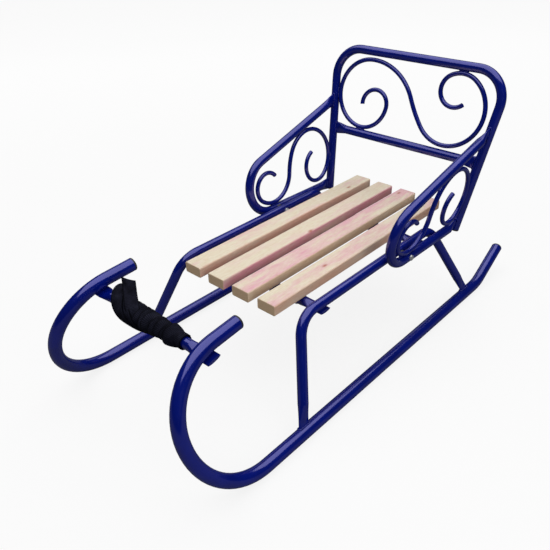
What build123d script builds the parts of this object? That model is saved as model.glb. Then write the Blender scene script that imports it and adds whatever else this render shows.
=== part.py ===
"""Children's snow sled of bent steel tube with a slatted seat, a backrest and two armrests.

Millimetres. +X points forward, towards the hooked ends of the runners, +Y to the rider's
left and +Z up. The origin is on the ground, under the middle of the sled's outer box.
"""

import os
from math import atan2, cos, degrees, radians, sin, tan

import numpy
from build123d import *

os.makedirs("parts", exist_ok=True)

# Tubes and rods
runner_radius = 10.0
tube_radius = 8.0
rod_radius = 4.0
pinch_width = 22.0
pinch_thickness = 5.4
pinch_taper = 18.0
weld_gap = 0.3
plug_thickness = 3.0
plug_edge = 1.0

# Runners: each is bent in one plane, which leans inward
runner_half_gauge = 177.5
runner_straight = 587.0
hook_radii = (104.0, 110.0, 92.5)
hook_turns = (45.0, 47.0, 83.0)
hook_tail = 44.0
kick_radius = 110.0
kick_turn = 18.0
kick_tail = 90.0

# Seat frame
rail_height = 160.0
rail_half_gauge = 125.0
seat_setback = 247.0
front_foot = 262.0
front_top = 209.0
rear_foot = -222.0
rear_top = -143.0
frame_bend_radius = 40.0
foot_taper = 26.0
foot_width = 20.0

# Seat
slat_count = 4
slat_length = 460.0
slat_width = 34.0
slat_thickness = 18.0
slat_pitch = 52.0
slat_edge = 2.5
slat_end_edge = 1.2
front_bar_place = 162.0
rear_bar_place = -105.0
bar_overhang = 8.0

# Backrest, measured from a level just under the rails
back_drop = 10.0
back_place = -206.0
back_lean = 11.4
arm_stand_off = 19.3
back_splay = 0.117
back_height = 268.5
back_corner_radius = 50.0
back_bar_height = 116.0
upright_drop = 7.0

# Armrests
arm_front = 24.5
arm_bend_radius = 50.0
arm_lower_height = 6.0
arm_lower_slope = 1.0
arm_upper_slope = 15.9
arm_bolt_place = -38.0
spacer_radius = 7.0

# Tow bar and the strap wound on it
tow_bar_angle = 166.0
tow_bar_overhang = 14.0
strap_thickness = 1.6
strap_slack = 0.4
strap_width = 20.0
strap_fold_angle = 125.0
strap_fold_rise = 36.0
strap_fold_thickness = 6.0

# Scrolls: radius as a share of the largest coil, and turn in degrees, along the rod
back_scroll_angle = 98.0
back_scroll_shares = (
    (0.43, -194), (0.79, -99), (1.01, -161), (1.65, -66),
    (4.18, 12), (1.03, 197), (0.72, 60), (0.45, 195),
)
arm_scroll_angle = 50.0
arm_scroll_shares = ((0.48, -192), (0.85, -120), (1.90, 20), (1.00, 169), (0.87, 35), (0.55, 194))
corner_angles = (45.0, 135.0)
arm_bend_angles = (-60.0, -30.0, 0.0, 30.0, 60.0)
scroll_steps_count = 360

# Strap: where each band starts along the bar as a share of its half length, wraps of webbing there
strap_shares = (
    (-0.64, 6), (-0.53, 7), (-0.40, 6), (-0.27, 5), (-0.12, 4),
    (0.03, 3), (0.17, 2), (0.30, 3), (0.43, 2), (0.56, 0),
)
strap_lap_share = 0.6

sides = (("left", 1), ("right", -1))


def toward(heading):
    """Unit step along a heading in degrees, as (across, up)."""
    return cos(radians(heading)), sin(radians(heading))


def polar(length, heading):
    """Step of that length along a heading in degrees, as (across, up)."""
    across, up = toward(heading)
    return length * across, length * up


def arc_step(radius, heading, turn):
    """Step from one end of an arc to the other, as (across, up)."""
    side = 1 if turn > 0 else -1
    end = heading + turn
    across = side * radius * (sin(radians(end)) - sin(radians(heading)))
    up = side * radius * (cos(radians(heading)) - cos(radians(end)))
    return across, up


def pinched_end(root, taper, flat, width):
    """Tube end that flattens from round, growing out of the root plane, wide along its x."""
    with BuildPart() as end:
        with BuildSketch(root):
            Circle(tube_radius)
        with BuildSketch(root.offset(taper)):
            Ellipse(width / 2, pinch_thickness / 2)
        loft()
        with BuildSketch(root.offset(taper)):
            Ellipse(width / 2, pinch_thickness / 2)
        extrude(amount=flat)
    return end.part


def finish(piece, label):
    """Names a finished piece and writes its STEP file."""
    piece.label = label
    export_step(piece, f"parts/{label}.step")
    print(label, round(piece.volume), len(piece.solids()))


# Runner outline, worked out in its own leaning plane
lean = degrees(atan2(runner_half_gauge - rail_half_gauge, rail_height - runner_radius))
hook_reach = runner_radius + hook_radii[0] * sin(radians(hook_turns[0]))
hook_reach += hook_radii[1] * (1 - sin(radians(hook_turns[0])))
rear_reach = kick_radius * sin(radians(kick_turn)) + (kick_tail + plug_thickness) * cos(radians(kick_turn))
rear_reach += runner_radius * sin(radians(kick_turn))
overall_length = runner_straight + hook_reach + rear_reach
straight_front = overall_length / 2 - hook_reach
straight_rear = straight_front - runner_straight
seat_middle = straight_rear + seat_setback


def side_plane(sign):
    """Plane of one runner and its seat frame: x forward, y up along the lean."""
    normal = (0, -cos(radians(lean)), -sign * sin(radians(lean)))
    return Plane(origin=(0, sign * runner_half_gauge, runner_radius), x_dir=(1, 0, 0), z_dir=normal)


def lean_point(across, up, sign):
    """World place of a point in a side plane."""
    return side_plane(sign).from_local_coords((across, up, 0))


def runner_path(plane):
    """Centre line of a runner, from its rear end to the end of the hook."""
    rear_across, rear_up = polar(kick_tail, -kick_turn)
    kick_across, kick_up = arc_step(kick_radius, -kick_turn, kick_turn)
    start = (straight_rear - kick_across - rear_across, -kick_up - rear_up)
    kick_start = (straight_rear - kick_across, -kick_up)
    with BuildLine(plane) as path:
        Line(start, kick_start)
        kick = JernArc(kick_start, toward(-kick_turn), kick_radius, kick_turn)
        piece = Line(kick @ 1, plane.from_local_coords(Vector(straight_front, 0, 0)))
        for radius, turn in zip(hook_radii, hook_turns):
            piece = JernArc(piece @ 1, piece % 1, radius, turn)
        Line(piece @ 1, piece @ 1 + hook_tail * (piece % 1))
    return path.wires()[0]


for side, sign in sides:
    plane = side_plane(sign)
    path = runner_path(plane)
    with BuildPart() as runner:
        with BuildSketch(path ^ 0):
            Circle(runner_radius)
        sweep(path=path)
    finish(runner.part, f"runner_{side}")

    for name, place, heading in (("front", path @ 1, path % 1), ("rear", path @ 0, path % 0 * -1)):
        with BuildPart() as plug:
            with BuildSketch(Plane(origin=place, z_dir=heading)):
                Circle(runner_radius)
            extrude(amount=plug_thickness)
            fillet(plug.edges().filter_by(GeomType.CIRCLE).sort_by(Axis(place, heading))[-1], plug_edge)
        finish(plug.part, f"runner_plug_{name}_{side}")

# Seat side frames: leg, rail and leg bent from one tube, with pinched feet on the runner
rail_up = (rail_height - runner_radius) / cos(radians(lean))
foot_up = runner_radius + weld_gap


def leg_point(foot, top, up):
    """Place on a leg's line at a height up the side plane."""
    return seat_middle + foot + (top - foot) * up / rail_up


for side, sign in sides:
    plane = side_plane(sign)
    ends = []
    feet = []
    for foot, top in ((front_foot, front_top), (rear_foot, rear_top)):
        heading = degrees(atan2(rail_up, top - foot))
        root_up = foot_up + foot_taper * sin(radians(heading)) + pinch_thickness
        root = (leg_point(foot, top, root_up), root_up)
        ends.append(root)
        down_world = plane.origin - plane.from_local_coords(Vector(*toward(heading), 0))
        origin = plane.from_local_coords(Vector(*root, 0))
        wide = down_world.cross(plane.z_dir)
        feet.append(pinched_end(Plane(origin, wide, down_world), foot_taper, pinch_width, foot_width))
    corners = [(seat_middle + front_top, rail_up), (seat_middle + rear_top, rail_up)]
    with BuildPart() as side_frame:
        with BuildLine(plane) as path:
            FilletPolyline(ends[0], *corners, ends[1], radius=frame_bend_radius)
        with BuildSketch(path.wires()[0] ^ 0):
            Circle(tube_radius)
        sweep(path=path.wires()[0])
        add(feet)
        foot_cut = Plane(plane.from_local_coords(Vector(0, foot_up, 0)), (1, 0, 0), plane.y_dir)
        split(bisect_by=foot_cut, keep=Keep.TOP)
    finish(side_frame.part, f"side_frame_{side}")


def crossbar(place, half_length, flat, wide):
    """Straight bar along Y whose ends are pinched flat, as wide as they go along wide."""
    with BuildPart() as bar:
        reach = half_length - flat - pinch_taper
        with BuildSketch(Plane(origin=place, x_dir=wide, z_dir=(0, 1, 0))):
            Circle(tube_radius)
        extrude(amount=reach, both=True)
        for end in (1, -1):
            root = Plane(place + Vector(0, end * reach, 0), wide, (0, end, 0))
            add(pinched_end(root, pinch_taper, flat, pinch_width))
    return bar.part


# Seat crossbars under the rails, and the slats on them
bar_height = rail_height - tube_radius - weld_gap - pinch_thickness / 2
seat_flat = tube_radius + 2 * bar_overhang
for name, place in (("front", front_bar_place), ("rear", rear_bar_place)):
    middle = Vector(seat_middle + place, 0, bar_height)
    finish(crossbar(middle, rail_half_gauge + bar_overhang, seat_flat, (1, 0, 0)), f"seat_bar_{name}")

slat_bottom = bar_height + tube_radius + weld_gap
for number in range(slat_count):
    across = (number - (slat_count - 1) / 2) * slat_pitch
    with BuildPart() as slat:
        with BuildSketch(Plane(origin=(seat_middle, across, slat_bottom))):
            Rectangle(slat_length, slat_width)
        extrude(amount=slat_thickness)
        fillet(slat.edges().filter_by(Axis.X), slat_edge)
        fillet(slat.faces().filter_by(Axis.X).edges(), slat_end_edge)
    finish(slat.part, f"slat_{number + 1}")

# Tow bar under the hooks
arc_start = sum(hook_turns[:2])
first = arc_step(hook_radii[0], 0, hook_turns[0])
second = arc_step(hook_radii[1], hook_turns[0], hook_turns[1])
third = arc_step(hook_radii[2], arc_start, tow_bar_angle - arc_start)
hook_seat = lean_point(straight_front + first[0] + second[0] + third[0], first[1] + second[1] + third[1], 1)
hook_way = lean_point(*toward(tow_bar_angle), 1) - lean_point(0, 0, 1)
hook_slope = Vector(-hook_way.X, 0, -hook_way.Z).normalized()
hook_drop = (runner_radius + weld_gap + pinch_thickness / 2) * Vector(hook_slope.Z, 0, -hook_slope.X)
tow_place = Vector(hook_seat.X, 0, hook_seat.Z) + hook_drop
tow_half = hook_seat.Y + tow_bar_overhang
tow_flat = runner_radius + tow_bar_overhang
finish(crossbar(tow_place, tow_half, tow_flat, hook_slope), "tow_bar")

# Backrest: one bent tube, a crossbar and a scroll, all in one leaning plane
back_level = rail_height - back_drop
back_half_width = rail_half_gauge + arm_stand_off
back_normal = (cos(radians(back_lean)), 0, sin(radians(back_lean)))
back_plane = Plane(origin=(seat_middle + back_place, 0, back_level), x_dir=(0, 1, 0), z_dir=back_normal)
splay = back_splay * cos(radians(back_lean))


def upright_across(up):
    """Half width between the uprights' middles at a height up the backrest."""
    return back_half_width + splay * up


with BuildPart() as backrest:
    corner = upright_across(back_height)
    foot = upright_across(-upright_drop)
    with BuildLine(back_plane) as path:
        FilletPolyline(
            (-foot, -upright_drop), (-corner, back_height), (corner, back_height), (foot, -upright_drop),
            radius=back_corner_radius,
        )
    back_path = path.wires()[0]
    with BuildSketch(back_path ^ 0):
        Circle(tube_radius)
    sweep(path=back_path)
finish(backrest.part, "backrest_frame")

back_ends = (("left", back_path @ 1, back_path % 1), ("right", back_path @ 0, back_path % 0 * -1))
for side, place, heading in back_ends:
    with BuildPart() as plug:
        with BuildSketch(Plane(origin=place, z_dir=heading)):
            Circle(tube_radius)
        extrude(amount=plug_thickness)
        fillet(plug.edges().filter_by(GeomType.CIRCLE).sort_by(Axis(place, heading))[-1], plug_edge)
    finish(plug.part, f"backrest_plug_{side}")

splay_angle = degrees(atan2(splay, 1))
with BuildPart() as back_bar:
    inner = upright_across(back_bar_height) - (tube_radius + weld_gap) / cos(radians(splay_angle))
    reach = inner - pinch_taper - pinch_thickness
    middle = back_plane.from_local_coords(Vector(0, back_bar_height, 0))
    with BuildSketch(Plane(origin=middle, x_dir=back_plane.y_dir, z_dir=(0, 1, 0))):
        Circle(tube_radius)
    extrude(amount=reach, both=True)
    for end in (1, -1):
        root = Plane(middle + Vector(0, end * reach, 0), back_plane.y_dir, (0, end, 0))
        add(pinched_end(root, pinch_taper, pinch_width / 2, pinch_width))
    for end in (1, -1):
        edge = back_plane.from_local_coords(Vector(end * inner, back_bar_height, 0))
        outward = back_plane.from_local_coords(Vector(end, -splay, 0)) - back_plane.origin
        split(bisect_by=Plane(origin=edge, z_dir=outward), keep=Keep.BOTTOM)
finish(back_bar.part, "backrest_bar")


def scroll_path(plane, start, heading, radius, shares):
    """Centre line of a scroll: arcs that run on from each other."""
    with BuildLine(plane) as path:
        place = plane.from_local_coords(Vector(*start, 0))
        tangent = plane.from_local_coords(Vector(*toward(heading), 0)) - plane.origin
        for share, turn in shares:
            arc = JernArc(place, tangent, share * radius, turn)
            place, tangent = arc @ 1, arc % 1
    return path.wires()[0]


def bend_walls(middle, inner_radius, headings):
    """Walls that touch the inner side of a bend around a middle point."""
    walls = []
    for heading in headings:
        across, up = toward(heading)
        walls.append((heading, middle[0] * across + middle[1] * up + inner_radius))
    return walls


def inscribed_scroll(plane, heading, shares, seats, stops):
    """Seats a scroll's rod on two walls and sizes it until it meets the nearest stop.

    Each wall is its outward heading in degrees and its distance from the plane's origin.
    """
    unit = scroll_path(Plane.XY, (0, 0), heading, 1, shares)
    points = [unit @ (step / scroll_steps_count) for step in range(scroll_steps_count + 1)]
    fits = []
    for stop in stops:
        rows = []
        limits = []
        for wall_heading, distance in (*seats, stop):
            across, up = toward(wall_heading)
            rows.append((max(across * point.X + up * point.Y for point in points), across, up))
            limits.append(distance - rod_radius - weld_gap)
        fits.append(tuple(numpy.linalg.solve(numpy.array(rows), numpy.array(limits))))
    radius, start_across, start_up = min(fit for fit in fits if fit[0] > 0)
    return scroll_path(plane, (start_across, start_up), heading, radius, shares)


def rod(path):
    """Round rod along a path."""
    with BuildPart() as piece:
        with BuildSketch(path ^ 0):
            Circle(rod_radius)
        sweep(path=path)
    return piece.part


upright_wall = back_half_width * cos(radians(splay_angle)) - tube_radius
corner_up = back_height - back_corner_radius
corner_across = upright_across(corner_up) - back_corner_radius / cos(radians(splay_angle))
back_seats = ((-90, -back_bar_height - tube_radius), (180 + splay_angle, upright_wall))
back_stops = [(90, back_height - tube_radius), (-splay_angle, upright_wall)]
for angle, place in zip(corner_angles, (corner_across, -corner_across)):
    back_stops += bend_walls((place, corner_up), back_corner_radius - tube_radius, [angle])
scroll = inscribed_scroll(back_plane, back_scroll_angle, back_scroll_shares, back_seats, back_stops)
finish(rod(scroll), "backrest_scroll")

# Armrests: each bent tube lies in the plane that its upright and the sled's length span
arm_lean = degrees(atan2(back_splay, 1))
upright_slope = degrees(atan2(1, -tan(radians(back_lean)) * cos(radians(arm_lean))))


def arm_plane(sign):
    """Plane of one armrest: x forward, y up and outward."""
    normal = (0, -cos(radians(arm_lean)), sign * sin(radians(arm_lean)))
    return Plane(origin=(seat_middle, sign * back_half_width, back_level), x_dir=(1, 0, 0), z_dir=normal)


# Armrest outline in its plane: two legs that touch one arc
arc_across = arm_front - arm_bend_radius
arc_up = arm_lower_height + arm_bend_radius
arm_turn = 180 - arm_lower_slope - arm_upper_slope
upper_touch = (
    arc_across + arm_bend_radius * sin(radians(arm_upper_slope)),
    arc_up + arm_bend_radius * cos(radians(arm_upper_slope)),
)
upright_face = tube_radius + weld_gap


def reach_upright(touch, heading):
    """Length of a leg from the arc to the front face of the upright."""
    across, up = toward(heading)
    normal_across, normal_up = toward(upright_slope - 90)
    gap = touch[0] * normal_across + touch[1] * normal_up - back_place * normal_across - upright_face
    return -gap / (across * normal_across + up * normal_up)


lower_touch = (
    arc_across + arm_bend_radius * sin(radians(arm_lower_slope)),
    arc_up - arm_bend_radius * cos(radians(arm_lower_slope)),
)
legs = (
    (upper_touch, 180 - arm_upper_slope),
    (lower_touch, 180 + arm_lower_slope),
)

for side, sign in sides:
    plane = arm_plane(sign)
    roots = []
    tips = []
    for touch, heading in legs:
        length = reach_upright(touch, heading)
        step = polar(length - pinch_taper - pinch_thickness, heading)
        root = (touch[0] + step[0], touch[1] + step[1])
        roots.append(root)
        out = plane.from_local_coords(Vector(*toward(heading), 0)) - plane.origin
        origin = plane.from_local_coords(Vector(*root, 0))
        tip_root = Plane(origin, out.cross(plane.z_dir), out)
        tips.append(pinched_end(tip_root, pinch_taper, pinch_width, pinch_width))
    with BuildPart() as armrest:
        with BuildLine(plane) as path:
            Line(roots[0], upper_touch)
            bend = JernArc(upper_touch, toward(-arm_upper_slope), arm_bend_radius, -arm_turn)
            Line(bend @ 1, plane.from_local_coords(Vector(*roots[1], 0)))
        with BuildSketch(path.wires()[0] ^ 0):
            Circle(tube_radius)
        sweep(path=path.wires()[0])
        add(tips)
        face_across, face_up = polar(upright_face, upright_slope - 90)
        face = plane.from_local_coords(Vector(back_place + face_across, face_up, 0))
        outward = plane.from_local_coords(Vector(*toward(upright_slope - 90), 0)) - plane.origin
        split(bisect_by=Plane(origin=face, z_dir=outward), keep=Keep.TOP)
    finish(armrest.part, f"armrest_{side}")

    rear_normal = upright_slope + 90
    rear_limit = back_place * cos(radians(rear_normal)) - tube_radius
    bend_middle = (arc_across, arc_up)
    bend_inside = arm_bend_radius - tube_radius
    lower_wall = bend_walls(bend_middle, bend_inside, [270 + arm_lower_slope])
    arm_stops = bend_walls(bend_middle, bend_inside, [90 - arm_upper_slope, *arm_bend_angles])
    arm_seats = (*lower_wall, (rear_normal, rear_limit))
    scroll = inscribed_scroll(plane, arm_scroll_angle, arm_scroll_shares, arm_seats, arm_stops)
    finish(rod(scroll), f"armrest_scroll_{side}")

# Spacers between the seat rails and the armrests, where one bolt a side goes through
for side, sign in sides:
    plane = arm_plane(sign)
    drop = (arm_bolt_place - lower_touch[0]) * tan(radians(arm_lower_slope))
    arm_middle = plane.from_local_coords(Vector(arm_bolt_place, lower_touch[1] + drop, 0))
    height = (arm_middle.Z + rail_height) / 2
    inner = rail_half_gauge + tube_radius + weld_gap
    outer = abs(arm_middle.Y) - tube_radius - weld_gap
    with BuildPart() as spacer:
        with BuildSketch(Plane((seat_middle + arm_bolt_place, sign * inner, height), z_dir=(0, sign, 0))):
            Circle(spacer_radius)
        extrude(amount=outer - inner)
    finish(spacer.part, f"armrest_spacer_{side}")

# Webbing strap, wound on the tow bar in overlapping bands, with its end folded up
bore = tube_radius + strap_slack
outline = []
for (start, wraps), (stop, _) in zip(strap_shares, strap_shares[1:]):
    outline += [
        (start * tow_half, bore + wraps * strap_thickness),
        (stop * tow_half, bore + (wraps - strap_lap_share) * strap_thickness),
    ]
first_place, last_place = outline[0][0], outline[-1][0]
fold_root = bore + strap_shares[0][1] * strap_thickness
fold_across, fold_up = toward(strap_fold_angle)
fold_side = tow_place + Vector(0, first_place + strap_width, 0)
with BuildPart() as strap:
    with BuildSketch(Plane(tow_place, x_dir=(0, 1, 0), z_dir=(-1, 0, 0))):
        with BuildLine():
            Polyline(*outline, (last_place, bore), (first_place, bore), close=True)
        make_face()
    revolve(axis=Axis(tow_place, (0, 1, 0)))
    with BuildSketch(Plane(fold_side, x_dir=(fold_up, 0, -fold_across), z_dir=(0, -1, 0))):
        with BuildLine():
            Polyline(
                (-fold_root, 0), (-strap_fold_thickness / 2, strap_fold_rise),
                (strap_fold_thickness / 2, strap_fold_rise), (fold_root, 0), close=True,
            )
        make_face()
        Circle(bore, mode=Mode.SUBTRACT)
    extrude(amount=strap_width)
finish(strap.part, "tow_strap")
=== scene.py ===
"""Looks of a children's snow sled: bent steel tube in dark blue enamel, pine slats, a wound webbing strap.

Metres. +X points forward, +Y to the rider's left and +Z up. The ground is at Z = 0.
"""

import logging
import math
from dataclasses import dataclass, field
from enum import Enum
from typing import NamedTuple

import bmesh
import bpy
import numpy
from mathutils import Matrix, Vector
from mathutils.bvhtree import BVHTree
from mathutils.geometry import interpolate_bezier


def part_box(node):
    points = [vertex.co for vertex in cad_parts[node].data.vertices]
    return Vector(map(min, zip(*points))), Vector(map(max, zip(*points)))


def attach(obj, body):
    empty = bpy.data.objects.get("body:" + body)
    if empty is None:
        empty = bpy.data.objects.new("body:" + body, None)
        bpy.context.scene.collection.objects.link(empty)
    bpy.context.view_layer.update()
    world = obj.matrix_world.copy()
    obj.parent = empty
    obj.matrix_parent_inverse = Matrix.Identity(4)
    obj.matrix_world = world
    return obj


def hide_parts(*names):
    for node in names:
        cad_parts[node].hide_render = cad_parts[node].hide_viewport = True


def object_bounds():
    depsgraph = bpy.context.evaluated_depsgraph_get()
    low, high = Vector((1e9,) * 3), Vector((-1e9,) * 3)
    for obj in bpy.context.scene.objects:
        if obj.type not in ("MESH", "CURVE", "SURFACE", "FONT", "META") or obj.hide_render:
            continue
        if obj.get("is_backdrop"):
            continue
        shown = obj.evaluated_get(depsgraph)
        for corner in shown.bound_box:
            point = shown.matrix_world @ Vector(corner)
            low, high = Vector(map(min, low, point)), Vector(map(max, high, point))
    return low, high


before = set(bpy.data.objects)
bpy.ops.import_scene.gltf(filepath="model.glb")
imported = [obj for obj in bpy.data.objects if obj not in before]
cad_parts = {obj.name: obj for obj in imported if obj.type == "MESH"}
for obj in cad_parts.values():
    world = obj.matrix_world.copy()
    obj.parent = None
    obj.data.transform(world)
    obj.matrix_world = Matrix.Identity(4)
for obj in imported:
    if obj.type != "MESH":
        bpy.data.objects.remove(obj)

Color = tuple[float, float, float, float]
Point = tuple[float, float, float]

MM = 0.001
UP = Vector((0.0, 0.0, 1.0))
SIDES = ("left", "right")
WHITE = (1.0, 1.0, 1.0, 1.0)
SHARP_ANGLE = math.radians(40.0)

# Masks of the finishes: the part of the noise's range that they spread, and how much finer gloss varies.
MOTTLE_RANGE = (0.3, 0.7)
GLOSS_FINENESS = 2.3

# Pine: the grain runs along X, so every noise is stretched along it.
ACROSS_GRAIN = (0.0, 1.0, 1.0)
WANDER_SCALE = (3.0, 22.0, 22.0)
FIBRE_SCALE = (110.0, 640.0, 640.0)
CLOUD_SCALE = (9.0, 45.0, 45.0)
RING_WANDER = 7.0
LATE_WOOD_FROM, LATE_WOOD_TO = 0.35, 0.95
STREAK_RANGE = (0.3, 0.75)
STREAK_MOST = 0.9
STAIN_HIGH = 0.66
# Patchiness of the side tint, which is partly stain and partly painted warm shade.
SIDE_PATCH_RANGE = (0.3, 0.6)
SIDE_PATCH_LEAST = 0.35
KNOT_SHAPE = (0.5, 1.0, 1.0)
KNOT_TINT = (0.62, 0.3, 0.25, 1.0)
FIBRE_RELIEF = 0.5

# Weld beads: a round core under the ripples, and the ripples' smallest and largest size.
CORE_SHARE = 0.82
BEAD_SIDES = 8
RIPPLE_RINGS = 5
RIPPLE_SMALLEST = (0.9, 0.9, 0.55)
RIPPLE_LARGEST = (1.12, 1.12, 0.75)

log = logging.getLogger("snow_sled")


class Slot(Enum):
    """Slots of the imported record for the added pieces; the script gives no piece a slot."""

    ENAMEL = "tube_enamel"
    WEBBING = "webbing"


class Graph:
    """Short way to write a node tree: one call makes a node, sets it and links it."""

    def __init__(self, tree: bpy.types.NodeTree) -> None:
        """Keeps the tree that the nodes go into."""
        self.tree = tree

    def node(self, kind: str, inputs: dict | None = None, **settings: object) -> bpy.types.Node:
        """Adds a node.

        Args:
            kind: Blender's name of the node type.
            inputs: Values or source sockets by input name or number.
            settings: Properties of the node.

        Returns:
            The new node.
        """
        made = self.tree.nodes.new(kind)
        for name, value in settings.items():
            setattr(made, name, value)
        for name, value in (inputs or {}).items():
            self.feed(made.inputs[name], value)
        return made

    def feed(self, socket: bpy.types.NodeSocket, value: object) -> None:
        """Links a source socket to a socket, or sets the socket's value.

        Args:
            socket: The socket to feed.
            value: A source socket, or a plain value.
        """
        if isinstance(value, bpy.types.NodeSocket):
            self.tree.links.new(value, socket)
        else:
            socket.default_value = value

    def calc(self, operation: str, *values: object) -> bpy.types.NodeSocket:
        """Adds a math node on numbers or sockets, and returns its result."""
        return self.node("ShaderNodeMath", dict(enumerate(values)), operation=operation).outputs[0]

    def vector_calc(self, operation: str, *values: object) -> bpy.types.NodeSocket:
        """Adds a vector math node, and returns its result: a number for LENGTH, else a vector."""
        made = self.node("ShaderNodeVectorMath", dict(enumerate(values)), operation=operation)
        return made.outputs["Value" if operation == "LENGTH" else "Vector"]

    def spread(
        self,
        value: bpy.types.NodeSocket,
        source: tuple[object, object],
        target: tuple[object, object] = (0.0, 1.0),
        soft: bool = False,
    ) -> bpy.types.NodeSocket:
        """Maps one range of values to another and holds the result inside it.

        Args:
            value: The value.
            source: Ends of the value's range.
            target: Ends of the result's range.
            soft: Whether the change starts and ends softly.

        Returns:
            The result.
        """
        inputs = {"Value": value, **dict(enumerate((*source, *target), 1))}
        course = "SMOOTHSTEP" if soft else "LINEAR"
        return self.node("ShaderNodeMapRange", inputs, interpolation_type=course).outputs["Result"]

    def blend(self, share: object, first: object, second: object, how: str = "MIX") -> bpy.types.NodeSocket:
        """Mixes two colours, or tints the first by the second, and returns the result."""
        inputs = {"Factor": share, "A": first, "B": second}
        return self.node("ShaderNodeMix", inputs, data_type="RGBA", blend_type=how).outputs["Result"]

    def noise(
        self, vector: bpy.types.NodeSocket, scale: object, detail: float = 2.0, roughness: float = 0.5
    ) -> bpy.types.NodeSocket:
        """Adds a noise texture.

        Args:
            vector: The coordinates.
            scale: A number or a socket, or a tuple with a number for each axis.
            detail: Number of finer layers.
            roughness: Share of the finer layers.

        Returns:
            The noise, from 0 to 1.
        """
        if isinstance(scale, tuple):
            vector = self.node("ShaderNodeMapping", {"Vector": vector, "Scale": scale}).outputs[0]
            scale = 1.0
        inputs = {"Vector": vector, "Scale": scale, "Detail": detail, "Roughness": roughness}
        return self.node("ShaderNodeTexNoise", inputs).outputs["Fac"]


def new_group(name: str, tree_kind: str, inputs: dict[str, str], outputs: dict[str, str]) -> Graph:
    """Starts a node group with named inputs and outputs.

    Args:
        name: Name of the group.
        tree_kind: Shader or geometry tree type.
        inputs: Kind of socket by input name.
        outputs: Kind of socket by output name.

    Returns:
        The graph of the new group.
    """
    tree = bpy.data.node_groups.new(name, tree_kind)
    for way, sockets in (("INPUT", inputs), ("OUTPUT", outputs)):
        for socket, kind in sockets.items():
            tree.interface.new_socket(name=socket, in_out=way, socket_type=f"NodeSocket{kind}")
    return Graph(tree)


def mottle_group() -> bpy.types.NodeTree:
    """Builds the soft uneven mask that varies colour and gloss over every finish.

    Returns:
        The group's tree.
    """
    graph = new_group(
        "soft_mottle",
        "ShaderNodeTree",
        {"Vector": "Vector", "Scale": "Float", "Low": "Float", "High": "Float"},
        {"Value": "Float"},
    )
    given = graph.node("NodeGroupInput").outputs
    noise = graph.noise(given["Vector"], given["Scale"], detail=4.0, roughness=0.55)
    value = graph.spread(noise, MOTTLE_RANGE, (given["Low"], given["High"]))
    graph.node("NodeGroupOutput", {"Value": value})
    return graph.tree


def relief_group() -> bpy.types.NodeTree:
    """Builds the fine relief of a coat or a moulding: broad ripples with small grains on them.

    Returns:
        The group's tree.
    """
    graph = new_group(
        "fine_relief",
        "ShaderNodeTree",
        {"Vector": "Vector", "Ripple Scale": "Float", "Grain Scale": "Float", "Grain Share": "Float"},
        {"Height": "Float"},
    )
    given = graph.node("NodeGroupInput").outputs
    ripple = graph.noise(given["Vector"], given["Ripple Scale"])
    grain = graph.noise(given["Vector"], given["Grain Scale"])
    height = graph.node("ShaderNodeMix", {"Factor": given["Grain Share"], "A": ripple, "B": grain})
    graph.node("NodeGroupOutput", {"Height": height.outputs["Result"]})
    return graph.tree


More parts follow.
